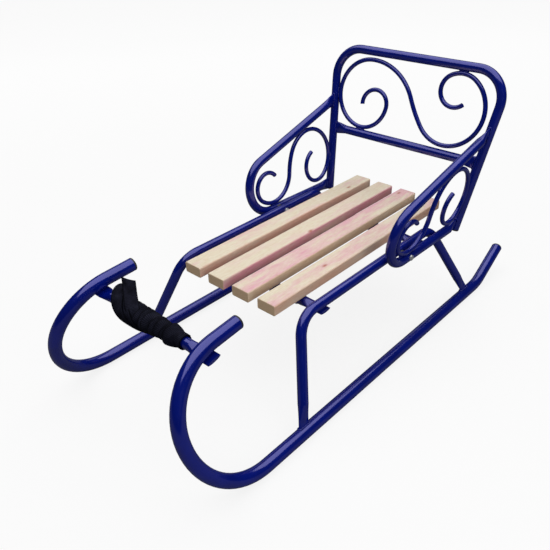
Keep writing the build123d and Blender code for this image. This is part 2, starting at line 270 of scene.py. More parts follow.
def wood_group() -> bpy.types.NodeTree:
    """Builds sawn pine as a solid: growth rings around a pith, fibres, a knot, a patchy stain, and on the
    faces across Y a tint that is partly stain and partly painted warm shade.

    Returns:
        The group's tree.
    """
    graph = new_group(
        "sawn_pine",
        "ShaderNodeTree",
        {
            "Vector": "Vector",
            "Pith": "Vector",
            "Ring Scale": "Float",
            "Ring Share": "Float",
            "Early Wood": "Color",
            "Late Wood": "Color",
            "Stain": "Color",
            "Stain Low": "Float",
            "Top Stain": "Float",
            "Side Share Of Stain And Shade": "Float",
            "Side Tint Of Stain And Shade": "Color",
            "End Tone": "Color",
            "Knot": "Vector",
            "Knot Size": "Float",
        },
        {"Color": "Color", "Height": "Float"},
    )
    given = graph.node("NodeGroupInput").outputs
    shifted = graph.vector_calc("SUBTRACT", given["Vector"], given["Pith"])
    radius = graph.vector_calc("LENGTH", graph.vector_calc("MULTIPLY", shifted, ACROSS_GRAIN))
    ring = graph.calc("MULTIPLY", radius, given["Ring Scale"])
    wander = graph.noise(shifted, WANDER_SCALE, detail=3.0)
    saw = graph.calc("FRACT", graph.calc("MULTIPLY_ADD", wander, RING_WANDER, ring))
    late = graph.spread(saw, (LATE_WOOD_FROM, LATE_WOOD_TO))
    drop = graph.spread(saw, (LATE_WOOD_TO, 1.0), (1.0, 0.0))
    late_wood = graph.calc("MULTIPLY", late, drop)
    fibre = graph.noise(shifted, FIBRE_SCALE)
    streak = graph.spread(fibre, STREAK_RANGE, (0.0, STREAK_MOST))
    tone = graph.calc("MAXIMUM", graph.calc("MULTIPLY", late_wood, given["Ring Share"]), streak)
    cloud = graph.noise(shifted, CLOUD_SCALE, detail=6.0, roughness=0.68)
    stained = graph.spread(cloud, (given["Stain Low"], STAIN_HIGH))
    patchy = graph.spread(cloud, SIDE_PATCH_RANGE, (SIDE_PATCH_LEAST, 1.0))
    normal = graph.node("ShaderNodeNewGeometry").outputs["Normal"]
    facing = graph.node("ShaderNodeSeparateXYZ", {"Vector": normal}).outputs
    end, side, flat = (graph.calc("MULTIPLY", facing[axis], facing[axis]) for axis in "XYZ")
    top_patch = graph.calc("MULTIPLY", stained, graph.calc("MULTIPLY", flat, given["Top Stain"]))
    # On the side faces: a patchy tint that is partly the sides' stain and partly painted warm shade.
    stain_and_shade_on_sides = graph.calc("MULTIPLY", graph.calc("MULTIPLY", side, given["Side Share Of Stain And Shade"]), patchy)
    from_knot = graph.vector_calc("SUBTRACT", given["Vector"], given["Knot"])
    distance = graph.vector_calc("LENGTH", graph.vector_calc("MULTIPLY", from_knot, KNOT_SHAPE))
    knot = graph.spread(distance, (given["Knot Size"], 0.0), soft=True)
    color = graph.blend(tone, given["Early Wood"], given["Late Wood"])
    tints = (
        (top_patch, given["Stain"]),
        # Side tint: partly stain, partly painted warm shade.
        (stain_and_shade_on_sides, given["Side Tint Of Stain And Shade"]),
        (knot, KNOT_TINT),
        (end, given["End Tone"]),
    )
    for mask, tint in tints:
        color = graph.blend(mask, color, tint, "MULTIPLY")
    height = graph.calc("MULTIPLY_ADD", fibre, FIBRE_RELIEF, late_wood)
    graph.node("NodeGroupOutput", {"Color": color, "Height": height})
    return graph.tree


class ShaderParts:
    """The shader groups that the finishes share, built once."""

    def __init__(self) -> None:
        """Builds every shared group."""
        self.mottle = mottle_group()
        self.relief = relief_group()
        self.wood = wood_group()

    def mottled(
        self,
        graph: Graph,
        place: bpy.types.NodeSocket,
        scale: float,
        values: tuple[float, float] = (0.0, 1.0),
    ) -> bpy.types.NodeSocket:
        """Adds the soft uneven mask to a material, between a lowest and a highest value."""
        inputs = {"Vector": place, "Scale": scale, "Low": values[0], "High": values[1]}
        return graph.node("ShaderNodeGroup", inputs, node_tree=self.mottle).outputs["Value"]


def start_material(name: str) -> tuple[bpy.types.Material, Graph, bpy.types.Node]:
    """Starts a material with an empty tree and a Principled shader on its output.

    Args:
        name: Name of the material.

    Returns:
        The material, its graph and the shader node.
    """
    material = bpy.data.materials.new(name)
    material.use_nodes = True
    material.node_tree.nodes.clear()
    graph = Graph(material.node_tree)
    shader = graph.node("ShaderNodeBsdfPrincipled")
    graph.node("ShaderNodeOutputMaterial", {"Surface": shader.outputs["BSDF"]})
    return material, graph, shader


def feed_shader(
    graph: Graph,
    shader: bpy.types.Node,
    color: bpy.types.NodeSocket,
    gloss: bpy.types.NodeSocket,
    height: bpy.types.NodeSocket,
    relief: float,
) -> None:
    """Feeds a Principled shader.

    Args:
        graph: The material's graph.
        shader: The shader node.
        color: The base colour.
        gloss: The roughness.
        height: Height of the relief, as a share.
        relief: Height of the whole relief in metres.
    """
    bump = graph.node("ShaderNodeBump", {"Strength": 1.0, "Distance": relief, "Height": height})
    graph.feed(shader.inputs["Base Color"], color)
    graph.feed(shader.inputs["Roughness"], gloss)
    graph.feed(shader.inputs["Normal"], bump.outputs["Normal"])


@dataclass(frozen=True)
class CoatFinish:
    """A painted, plated or moulded surface: two close tones, an uneven gloss and a fine relief."""

    name: str
    tone: Color
    second_tone: Color
    gloss: tuple[float, float]
    mottle_scale: float
    ripple_scale: float
    grain_scale: float
    grain_share: float
    relief: float
    metallic: float = 0.0
    specular: float = 0.5
    specular_tint: Color = WHITE
    ior: float = 1.5

    def make(self, parts: ShaderParts) -> bpy.types.Material:
        """Builds the material.

        Args:
            parts: The shared shader groups.

        Returns:
            The finished material.
        """
        material, graph, shader = start_material(self.name)
        place = graph.node("ShaderNodeTexCoord").outputs["Object"]
        patches = parts.mottled(graph, place, self.mottle_scale)
        tone = graph.blend(patches, self.tone, self.second_tone)
        gloss = parts.mottled(graph, place, self.mottle_scale * GLOSS_FINENESS, self.gloss)
        relief_inputs = {
            "Vector": place,
            "Ripple Scale": self.ripple_scale,
            "Grain Scale": self.grain_scale,
            "Grain Share": self.grain_share,
        }
        relief = graph.node("ShaderNodeGroup", relief_inputs, node_tree=parts.relief)
        feed_shader(graph, shader, tone, gloss, relief.outputs["Height"], self.relief)
        shader.inputs["Metallic"].default_value = self.metallic
        shader.inputs["Specular IOR Level"].default_value = self.specular
        shader.inputs["Specular Tint"].default_value = self.specular_tint
        shader.inputs["IOR"].default_value = self.ior
        return material


class PineCut(NamedTuple):
    """Where a slat was sawn from its plank, where its knot is, how much of which stain it has, and the tint
    of its sides, which is partly stain and partly painted warm shade.
    """

    pith: Point
    knot: Point
    stain_low: float
    top_stain: float
    side_share_of_stain_and_shade: float
    side_tint_of_stain_and_shade: Color


@dataclass(frozen=True)
class PineFinish:
    """Sawn pine of one slat: tones that all slats share, on a cut of its own."""

    name: str
    cut: PineCut
    early_wood: Color = (0.79, 0.725, 0.585, 1.0)
    late_wood: Color = (0.70, 0.58, 0.41, 1.0)
    stain: Color = (0.97, 0.56, 0.88, 1.0)
    end_tone: Color = (0.95, 0.77, 0.63, 1.0)
    ring_scale: float = 330.0
    ring_share: float = 0.45
    knot_size: float = 0.0045
    relief: float = 0.00012
    gloss: tuple[float, float] = (0.62, 0.8)
    gloss_scale: float = 90.0
    specular: float = 0.3

    def make(self, parts: ShaderParts) -> bpy.types.Material:
        """Builds the material.

        Args:
            parts: The shared shader groups.

        Returns:
            The finished material.
        """
        material, graph, shader = start_material(self.name)
        place = graph.node("ShaderNodeTexCoord").outputs["Object"]
        wood_inputs = {
            "Vector": place,
            "Pith": self.cut.pith,
            "Ring Scale": self.ring_scale,
            "Ring Share": self.ring_share,
            "Early Wood": self.early_wood,
            "Late Wood": self.late_wood,
            "Stain": self.stain,
            "Stain Low": self.cut.stain_low,
            "Top Stain": self.cut.top_stain,
            "Side Share Of Stain And Shade": self.cut.side_share_of_stain_and_shade,
            "Side Tint Of Stain And Shade": self.cut.side_tint_of_stain_and_shade,
            "End Tone": self.end_tone,
            "Knot": self.cut.knot,
            "Knot Size": self.knot_size,
        }
        wood = graph.node("ShaderNodeGroup", wood_inputs, node_tree=parts.wood).outputs
        gloss = parts.mottled(graph, place, self.gloss_scale, self.gloss)
        feed_shader(graph, shader, wood["Color"], gloss, wood["Height"], self.relief)
        shader.inputs["Specular IOR Level"].default_value = self.specular
        return material


@dataclass(frozen=True)
class WebbingFinish:
    """Dark woven webbing, with ribs along the band and picks across it, on its own UV map. A dark stripe
    along each edge is partly the denser selvedge threads and partly painted shade of the creases between
    overlapping turns.
    """

    name: str = "black_webbing"
    uv_map: str = "weave"
    thread: Color = (0.0018, 0.0018, 0.0048, 1.0)
    worn_thread: Color = (0.022, 0.023, 0.042, 1.0)
    # Dark edge stripe: partly denser selvedge threads, partly painted shade in the creases between
    # overlapping turns.
    edge_stripe_and_crease_shade: Color = (0.001, 0.001, 0.003, 1.0)
    edge_shade_range: tuple[float, float] = (0.0078, 0.0096)
    rib_pitch: float = 0.0021
    pick_pitch: float = 0.0012
    twill_share: float = 0.4
    wear_scale: float = 70.0
    relief: float = 0.0003
    gloss: tuple[float, float] = (0.8, 0.95)
    gloss_scale: float = 200.0
    specular: float = 0.08

    def make(self, parts: ShaderParts) -> bpy.types.Material:
        """Builds the material.

        Args:
            parts: The shared shader groups.

        Returns:
            The finished material.
        """
        material, graph, shader = start_material(self.name)
        woven = graph.node("ShaderNodeUVMap", uv_map=self.uv_map).outputs["UV"]
        axes = graph.node("ShaderNodeSeparateXYZ", {"Vector": woven}).outputs
        rib, pick = (
            graph.calc("SINE", graph.calc("MULTIPLY", axes[axis], math.tau / pitch))
            for axis, pitch in (("X", self.rib_pitch), ("Y", self.pick_pitch))
        )
        ribs = graph.calc("MULTIPLY_ADD", graph.calc("MULTIPLY", rib, pick), self.twill_share, rib)
        highest = 1 + self.twill_share
        height = graph.spread(ribs, (-highest, highest))
        place = graph.node("ShaderNodeTexCoord").outputs["Object"]
        crown = graph.calc("MULTIPLY", height, parts.mottled(graph, place, self.wear_scale))
        tone = graph.blend(crown, self.thread, self.worn_thread)
        # Darkens the band near its edges: partly the selvedge, partly painted shade of the creases where one
        # turn lies on the next.
        across = graph.calc("ABSOLUTE", axes["Y"])
        edge = graph.spread(across, self.edge_shade_range, soft=True)
        tone_with_edge_shade = graph.blend(edge, tone, self.edge_stripe_and_crease_shade)
        gloss = parts.mottled(graph, place, self.gloss_scale, self.gloss)
        feed_shader(graph, shader, tone_with_edge_shade, gloss, height, self.relief)
        shader.inputs["Specular IOR Level"].default_value = self.specular
        return material


ENAMEL = CoatFinish(
    name="dark_blue_enamel",
    tone=(0.0008, 0.0085, 0.205, 1.0),
    second_tone=(0.0006, 0.006, 0.15, 1.0),
    gloss=(0.12, 0.18),
    mottle_scale=26.0,
    ripple_scale=90.0,
    grain_scale=1500.0,
    grain_share=0.02,
    relief=0.00002,
    specular=0.95,
    specular_tint=(0.5, 0.49, 1.0, 1.0),
    ior=1.72,
)
PLUG_PLASTIC = CoatFinish(
    name="black_plug_plastic",
    tone=(0.022, 0.022, 0.026, 1.0),
    second_tone=(0.034, 0.034, 0.038, 1.0),
    gloss=(0.42, 0.58),
    mottle_scale=120.0,
    ripple_scale=700.0,
    grain_scale=3200.0,
    grain_share=0.6,
    relief=0.00009,
)
SPACER_PLASTIC = CoatFinish(
    name="black_spacer_plastic",
    tone=(0.04, 0.04, 0.042, 1.0),
    second_tone=(0.055, 0.055, 0.058, 1.0),
    gloss=(0.5, 0.65),
    mottle_scale=160.0,
    ripple_scale=800.0,
    grain_scale=3600.0,
    grain_share=0.5,
    relief=0.00008,
)
ZINC = CoatFinish(
    name="bright_zinc",
    tone=(0.78, 0.79, 0.81, 1.0),
    second_tone=(0.66, 0.67, 0.70, 1.0),
    gloss=(0.3, 0.45),
    mottle_scale=240.0,
    ripple_scale=900.0,
    grain_scale=4200.0,
    grain_share=0.4,
    relief=0.00005,
    metallic=0.8,
)


def dress(piece: bpy.types.Object, material: bpy.types.Material) -> None:
    """Gives a piece one material in its only slot."""
    piece.data.materials.clear()
    piece.data.materials.append(material)


def add_piece(
    name: str, mesh: bpy.types.Mesh, material: bpy.types.Material
) -> bpy.types.Object:
    """Puts a finished mesh into the scene as a piece that rides on the sled.

    Args:
        name: Name of the piece.
        mesh: Mesh with its place in its points.
        material: The piece's finish.

    Returns:
        The new object.
    """
    mesh.name = name
    piece = bpy.data.objects.new(name, mesh)
    bpy.context.scene.collection.objects.link(piece)
    dress(piece, material)
    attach(piece, "root")
    mesh.calc_loop_triangles()
    log.info("%s: %d triangles", name, len(mesh.loop_triangles))
    return piece


def smooth(mesh: bpy.types.Mesh) -> None:
    """Shades a mesh smooth, apart from its sharp edges."""
    mesh.shade_smooth()
    mesh.set_sharp_from_angle(angle=SHARP_ANGLE)


class Profile(NamedTuple):
    """A corner of a turned part's outline."""

    radius: float
    height: float


def join_rings(
    shell: bmesh.types.BMesh, first: list[bmesh.types.BMVert], second: list[bmesh.types.BMVert]
) -> None:
    """Adds the faces between two rings with as many points.

    Args:
        shell: The shell that both rings are in.
        first: One ring's points in order.
        second: The other ring's points in order.
    """
    for step in range(len(first)):
        after = (step + 1) % len(first)
        shell.faces.new((first[step], first[after], second[after], second[step]))


def stack_rings(
    shell: bmesh.types.BMesh, outline: list[Profile], segments: int
) -> list[bmesh.types.BMVert]:
    """Adds an outline turned round Z to a shell, with a flat lid below and none above.

    Args:
        shell: The shell to add to.
        outline: Corners from the lowest to the highest, all off the axis.
        segments: Number of sides.

    Returns:
        The highest ring's points.
    """
    rings = []
    for radius, height in outline:
        angles = [math.tau * step / segments for step in range(segments)]
        rings.append([shell.verts.new((radius * math.cos(a), radius * math.sin(a), height)) for a in angles])
    for lower, upper in zip(rings, rings[1:]):
        join_rings(shell, lower, upper)
    shell.faces.new(rings[0][::-1])
    return rings[-1]


def turned(outline: list[Profile], segments: int) -> bmesh.types.BMesh:
    """Turns an outline round Z into a closed shell.

    Args:
        outline: Corners from the lowest to the highest, all off the axis.
        segments: Number of sides.

    Returns:
        The shell, with flat lids at both ends.
    """
    shell = bmesh.new()
    shell.faces.new(stack_rings(shell, outline, segments))
    return shell


def to_mesh(shell: bmesh.types.BMesh, name: str) -> bpy.types.Mesh:
    """Writes a shell to a mesh with outward normals, and frees it.

    Args:
        shell: The shell to write.
        name: Name of the mesh.

    Returns:
        The new mesh.
    """
    bmesh.ops.recalc_face_normals(shell, faces=shell.faces)
    mesh = bpy.data.meshes.new(name)
    shell.to_mesh(mesh)
    shell.free()
    smooth(mesh)
    return mesh


def join_shells(shells: list[bmesh.types.BMesh]) -> bmesh.types.BMesh:
    """Gathers several shells into one, and frees them.

    Args:
        shells: The shells to gather.

    Returns:
        The shell that holds them all.
    """
    whole = bmesh.new()
    for shell in shells:
        loose = bpy.data.meshes.new("loose")
        shell.to_mesh(loose)
        shell.free()
        whole.from_mesh(loose)
        bpy.data.meshes.remove(loose)
    return whole


@dataclass(frozen=True)
class Contact:
    """A place where two pieces meet, flat between them."""

    middle: Vector
    along: Vector
    across: Vector
    half_length: float
    half_width: float

    def outline(self, steps: int) -> list[Vector]:
        """Draws a closed loop with straight sides and round ends around the contact.

        Args:
            steps: Number of points.

        Returns:
            The points in order.
        """
        straight = max(self.half_length - self.half_width, 0.0)
        points = []
        for step in range(steps):
            angle = math.tau * (step + 0.5) / steps
            reach = math.copysign(straight, math.cos(angle)) + self.half_width * math.cos(angle)
            aside = self.half_width * math.sin(angle)
            points.append(self.middle + reach * self.along + aside * self.across)
        return points


@dataclass
class WeldBeads:
    """Weld beads round every place where one steel piece meets another, found from the pieces themselves."""

    name: str
    pairs: list[tuple[str, str]]
    seed: int
    reach: float = 0.95 * MM
    search_margin: float = 3.0 * MM
    sample_spacing: float = 1.6 * MM
    place_size: float = 26.0 * MM
    bead_radius: float = 1.35 * MM
    bead_spacing: float = 1.5 * MM
    least_half_width: float = 1.5 * MM
    loop_steps: int = 36
    contacts: list[Contact] = field(default_factory=list)

    def surface_points(self, piece: bpy.types.Object, low: Vector, high: Vector) -> list[Vector]:
        """Finds points all over the part of a piece's surface that lies inside a box.

        Args:
            piece: The piece.
            low: Lowest corner of the box.
            high: Highest corner of the box.

        Returns:
            The points, no further apart than the sample spacing.
        """
        shell = bmesh.new()
        shell.from_mesh(piece.data)
        for axis in range(3):
            for corner, sign in ((low, -1.0), (high, 1.0)):
                normal = Vector((0.0, 0.0, 0.0))
                normal[axis] = sign
                parts = [*shell.verts, *shell.edges, *shell.faces]
                bmesh.ops.bisect_plane(shell, geom=parts, plane_co=corner, plane_no=normal, clear_outer=True)
        while long_edges := [edge for edge in shell.edges if edge.calc_length() > self.sample_spacing]:
            bmesh.ops.subdivide_edges(shell, edges=long_edges, cuts=1)
        points = [corner.co.copy() for corner in shell.verts]
        shell.free()
        return points

    def find(self, first: str, second: str) -> None:
        """Adds the places where the first node meets the second.

        Args:
            first: Name of the node whose surface is searched.
            second: Name of the node that it meets.
        """
        (low_a, high_a), (low_b, high_b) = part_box(first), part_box(second)
        margin = Vector((self.search_margin,) * 3)
        low = Vector(map(max, low_a, low_b)) - margin
        high = Vector(map(min, high_a, high_b)) + margin
        other = bmesh.new()
        other.from_mesh(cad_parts[second].data)
        tree = BVHTree.FromBMesh(other)
        other.free()
        groups: list[list[tuple[Vector, Vector]]] = []
        for point in self.surface_points(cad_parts[first], low, high):
            nearest = tree.find_nearest(point, self.reach)[0]
            if nearest is None:
                continue
            near_group = [group for group in groups if (group[0][0] - point).length < self.place_size]
            if near_group:
                near_group[0].append((point, nearest))
            else:
                groups.append([(point, nearest)])
        for group in groups:
            self.contacts.append(self.measure(group))
        log.info("%s meets %s at %d places", first, second, len(groups))

    def measure(self, group: list[tuple[Vector, Vector]]) -> Contact:
        """Works out a contact's middle, directions and size.

        Args:
            group: Pairs of a point on one piece and the nearest point on the other.

        Returns:
            The contact.
        """
        middles = numpy.array([(a + b) / 2 for a, b in group])
        gap = sum(((b - a).normalized() for a, b in group), Vector((0.0, 0.0, 0.0))).normalized()
        spread = numpy.cov((middles - middles.mean(0)).T) if len(group) > 2 else numpy.eye(3)
        along = Vector(numpy.linalg.eigh(spread)[1][:, -1])
        along = (along - along.dot(gap) * gap).normalized()
        across = gap.cross(along)
        lengths = middles @ numpy.array(along)
        widths = middles @ numpy.array(across)
        depth = float((middles @ numpy.array(gap)).mean())
        middle_length = (lengths.min() + lengths.max()) / 2
        middle_width = (widths.min() + widths.max()) / 2
        middle = middle_length * along + middle_width * across + depth * gap
        half_width = max((widths.max() - widths.min()) / 2, self.least_half_width) + self.bead_radius / 2
        half_length = max((lengths.max() - lengths.min()) / 2 + self.bead_radius / 2, half_width)
        return Contact(Vector(middle), along, across, float(half_length), float(half_width))

    def seams(self) -> bpy.types.Mesh:
        """Makes a mesh of edges with one closed loop for each contact.

        Returns:
            The mesh, which has no faces.
        """
        points: list[Vector] = []
        edges: list[tuple[int, int]] = []
        steps = self.loop_steps
        for contact in self.contacts:
            first = len(points)
            points += contact.outline(steps)
            edges += [(first + step, first + (step + 1) % steps) for step in range(steps)]
        mesh = bpy.data.meshes.new(self.name)
        mesh.from_pydata(points, edges, [])
        return mesh

    def build(self, tree: bpy.types.NodeTree, material: bpy.types.Material) -> bpy.types.Object:
        """Finds the contacts and lays the beads.

        Args:
            tree: The ripple tree.
            material: The beads' finish.

        Returns:
            The beads as one piece.
        """
        for first, second in self.pairs:
            self.find(first, second)
        values = {
            "Bead Radius": self.bead_radius,
            "Spacing": self.bead_spacing,
            "Seed": self.seed,
            "Finish": material,
        }
        return add_piece(self.name, grown(self.seams(), tree, values), material)


def grown(base: bpy.types.Mesh, tree: bpy.types.NodeTree, values: dict[str, object]) -> bpy.types.Mesh:
    """Runs a geometry tree on a mesh and returns the result as a plain mesh.

    Args:
        base: The mesh that the tree starts from.
        tree: The geometry tree.
        values: The tree's inputs by name.

    Returns:
        The resulting mesh.
    """
    holder = bpy.data.objects.new("holder", base)
    bpy.context.scene.collection.objects.link(holder)
    modifier = holder.modifiers.new("grow", "NODES")
    modifier.node_group = tree
    for socket in tree.interface.items_tree:
        if socket.in_out == "INPUT" and socket.name in values:
            modifier[socket.identifier] = values[socket.name]
    graph = bpy.context.evaluated_depsgraph_get()
    result = bpy.data.meshes.new_from_object(holder.evaluated_get(graph))
    holder.modifiers.remove(modifier)
    bpy.data.objects.remove(holder)
    bpy.data.meshes.remove(base)
    return result


def ripple_tree() -> bpy.types.NodeTree:
    """Builds the tree that lays a weld along edges: a core bead with overlapping ripples on it.

    Returns:
        The tree.
    """
    graph = new_group(
        "weld_ripples",
        "GeometryNodeTree",
        {
            "Seams": "Geometry",
            "Bead Radius": "Float",
            "Spacing": "Float",
            "Seed": "Int",
            "Finish": "Material",
        },
        {"Beads": "Geometry"},
    )
    given = graph.node("NodeGroupInput").outputs
    seam = graph.node("GeometryNodeMeshToCurve", {"Mesh": given["Seams"]}).outputs["Curve"]
    core_radius = graph.calc("MULTIPLY", given["Bead Radius"], CORE_SHARE)
    ring = graph.node("GeometryNodeCurvePrimitiveCircle", {"Resolution": BEAD_SIDES, "Radius": core_radius})
    core = graph.node("GeometryNodeCurveToMesh", {"Curve": seam, "Profile Curve": ring.outputs["Curve"]})
    stops = graph.node(
        "GeometryNodeCurveToPoints", {"Curve": seam, "Length": given["Spacing"]}, mode="LENGTH"
    )
    drop = graph.node(
        "GeometryNodeMeshUVSphere",
        {"Segments": BEAD_SIDES, "Rings": RIPPLE_RINGS, "Radius": given["Bead Radius"]},
    ).outputs["Mesh"]
    size = graph.node(
        "FunctionNodeRandomValue",
        {0: RIPPLE_SMALLEST, 1: RIPPLE_LARGEST, "Seed": given["Seed"]},
        data_type="FLOAT_VECTOR",
    ).outputs[0]
    ripples = graph.node(
        "GeometryNodeInstanceOnPoints",
        {
            "Points": stops.outputs["Points"],
            "Instance": drop,
            "Rotation": stops.outputs["Rotation"],
            "Scale": size,
        },
    )
    both = graph.node("GeometryNodeJoinGeometry", {"Geometry": ripples.outputs["Instances"]})
    graph.feed(both.inputs["Geometry"], core.outputs["Mesh"])
    end_tree(graph, both.outputs["Geometry"], given["Finish"])
    return graph.tree


def fastener_tree() -> bpy.types.NodeTree:
    """Builds the tree that sets one fastener on each point, turned to the point's own facing.

    Returns:
        The tree.
    """
    graph = new_group(
        "set_fasteners",
        "GeometryNodeTree",
        {"Places": "Geometry", "Fastener": "Object", "Seed": "Int", "Finish": "Material"},
        {"Fasteners": "Geometry"},
    )
    given = graph.node("NodeGroupInput").outputs
    part = graph.node("GeometryNodeObjectInfo", {"Object": given["Fastener"]}).outputs["Geometry"]
    facing = graph.node("GeometryNodeInputNamedAttribute", {"Name": "facing"}, data_type="FLOAT_VECTOR")
    turn = graph.node("FunctionNodeAlignRotationToVector", {"Vector": facing.outputs["Attribute"]}, axis="Z")
    spin = graph.node(
        "FunctionNodeRandomValue", {2: 0.0, 3: math.pi, "Seed": given["Seed"]}, data_type="FLOAT"
    ).outputs[1]
    spun = graph.node(
        "FunctionNodeAxisAngleToRotation", {"Axis": (0.0, 0.0, 1.0), "Angle": spin}
    ).outputs["Rotation"]
    rotation = graph.node(
        "FunctionNodeRotateRotation",
        {"Rotation": turn.outputs["Rotation"], "Rotate By": spun},
        rotation_space="LOCAL",
    ).outputs["Rotation"]
    placed = graph.node(
        "GeometryNodeInstanceOnPoints", {"Points": given["Places"], "Instance": part, "Rotation": rotation}
    )
    end_tree(graph, placed.outputs["Instances"], given["Finish"])
    return graph.tree


def end_tree(graph: Graph, shape: bpy.types.NodeSocket, finish: bpy.types.NodeSocket) -> None:
    """Ends a geometry tree: instances made real, shaded smooth, with their material.

    Args:
        graph: Graph of the tree.
        shape: The geometry to end with.
        finish: The tree's material input.
    """
    real = graph.node("GeometryNodeRealizeInstances", {"Geometry": shape})
    shaded = graph.node("GeometryNodeSetShadeSmooth", {"Geometry": real.outputs["Geometry"]})
    painted = graph.node(
        "GeometryNodeSetMaterial", {"Geometry": shaded.outputs["Geometry"], "Material": finish}
    )
    graph.node("NodeGroupOutput", {0: painted.outputs["Geometry"]})


@dataclass
class SteelFrame:
    """Runners, seat frame, crossbars, backrest and armrests: CAD tubes with enamel, welds and end plugs."""

    tubes: tuple[str, ...] = (
        "seat_bar_front",
        "seat_bar_rear",
        "tow_bar",
        "backrest_frame",
        "backrest_bar",
        "backrest_scroll",
    )
    side_tubes: tuple[str, ...] = ("runner", "side_frame", "armrest", "armrest_scroll")
    side_plugs: tuple[str, ...] = ("runner_plug_front", "runner_plug_rear", "backrest_plug")

    def dress(self, enamel: bpy.types.Material, plastic: bpy.types.Material) -> None:
        """Paints the tubes and rods and finishes their plugs.

        Args:
            enamel: Finish of the steel.
            plastic: Finish of the end plugs.
        """
        steel = [*self.tubes, *(f"{part}_{side}" for part in self.side_tubes for side in SIDES)]
        for node in steel:
            dress(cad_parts[node], enamel)
        for part in self.side_plugs:
            for side in SIDES:
                dress(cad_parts[f"{part}_{side}"], plastic)
        log.info("enamel on %d steel pieces", len(steel))

    def weld_sets(self) -> list[WeldBeads]:
        """Lists the welds by sub-assembly.

        Returns:
            One piece's weld beads for each sub-assembly.
        """
        feet = [(f"side_frame_{side}", f"runner_{side}") for side in SIDES]
        rails = [(f"seat_bar_{end}", f"side_frame_{side}") for end in ("front", "rear") for side in SIDES]
        hooks = [("tow_bar", f"runner_{side}") for side in SIDES]
        back = [
            ("backrest_bar", "backrest_frame"),
            ("backrest_scroll", "backrest_frame"),
            ("backrest_scroll", "backrest_bar"),
        ]
        arms = [(f"armrest_{side}", "backrest_frame") for side in SIDES]
        arms += [(f"armrest_scroll_{side}", f"armrest_{side}") for side in SIDES]
        arms += [(f"armrest_scroll_{side}", "backrest_frame") for side in SIDES]
        return [
            WeldBeads("runner_welds", feet, seed=3),
            WeldBeads("seat_bar_welds", rails, seed=5),
            WeldBeads("tow_bar_welds", hooks, seed=7),
            WeldBeads("backrest_welds", back, bead_radius=1.15 * MM, seed=11),
            WeldBeads("armrest_welds", arms, bead_radius=1.15 * MM, seed=13),
        ]

    def build(self, parts: ShaderParts) -> None:
        """Dresses the steel and welds it.

        Args:
            parts: The shared shader groups.
        """
        enamel = ENAMEL.make(parts)
        self.dress(enamel, PLUG_PLASTIC.make(parts))
        tree = ripple_tree()
        for welds in self.weld_sets():
            welds.build(tree, enamel)


@dataclass
class Slats:
    """The seat's four pine slats, each cut from another place of the plank."""

    # Each cut: pith, knot, lowest stain, top stain, and the share and tint of the sides, which are partly
    # stain and partly painted warm shade.
    cuts: tuple[PineCut, ...] = (
        PineCut((0.3, -0.13, 0.112), (-0.21, -0.07, 0.1753), 0.47, 0.5, 0.9, (1.0, 0.66, 0.62, 1.0)),
        PineCut((-0.9, 0.006, 0.098), (-0.02, -0.011, 0.1753), 0.45, 0.3, 1.0, (1.0, 0.48, 0.76, 1.0)),
        PineCut((1.7, 0.055, 0.121), (-0.25, 0.019, 0.1753), 0.4, 1.0, 0.7, (1.0, 0.8, 0.68, 1.0)),
        PineCut((-2.4, 0.032, 0.092), (0.055, 0.079, 0.1753), 0.42, 0.85, 0.9, (1.0, 0.63, 0.54, 1.0)),
    )

    def build(self, parts: ShaderParts) -> None:
        """Dresses each slat in its own pine.

        Args:
            parts: The shared shader groups.
        """
        for number, cut in enumerate(self.cuts, 1):
            dress(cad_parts[f"slat_{number}"], PineFinish(f"pine_{number}", cut).make(parts))
        log.info("pine on %d slats", len(self.cuts))


class BandStation(NamedTuple):
    """Where the strap is after a number of turns round the tow bar: all but the turns in millimetres."""

    turns: float
    place: float
    radius: float
    sag: float
    lift: float


class BandPoint(NamedTuple):
    """A point on the middle of the band: the way its outer face looks, its edge's lift, crown and skew."""

    middle: Vector
    outward: Vector
    lift: float
    crown: float
    skew: float = 0.0


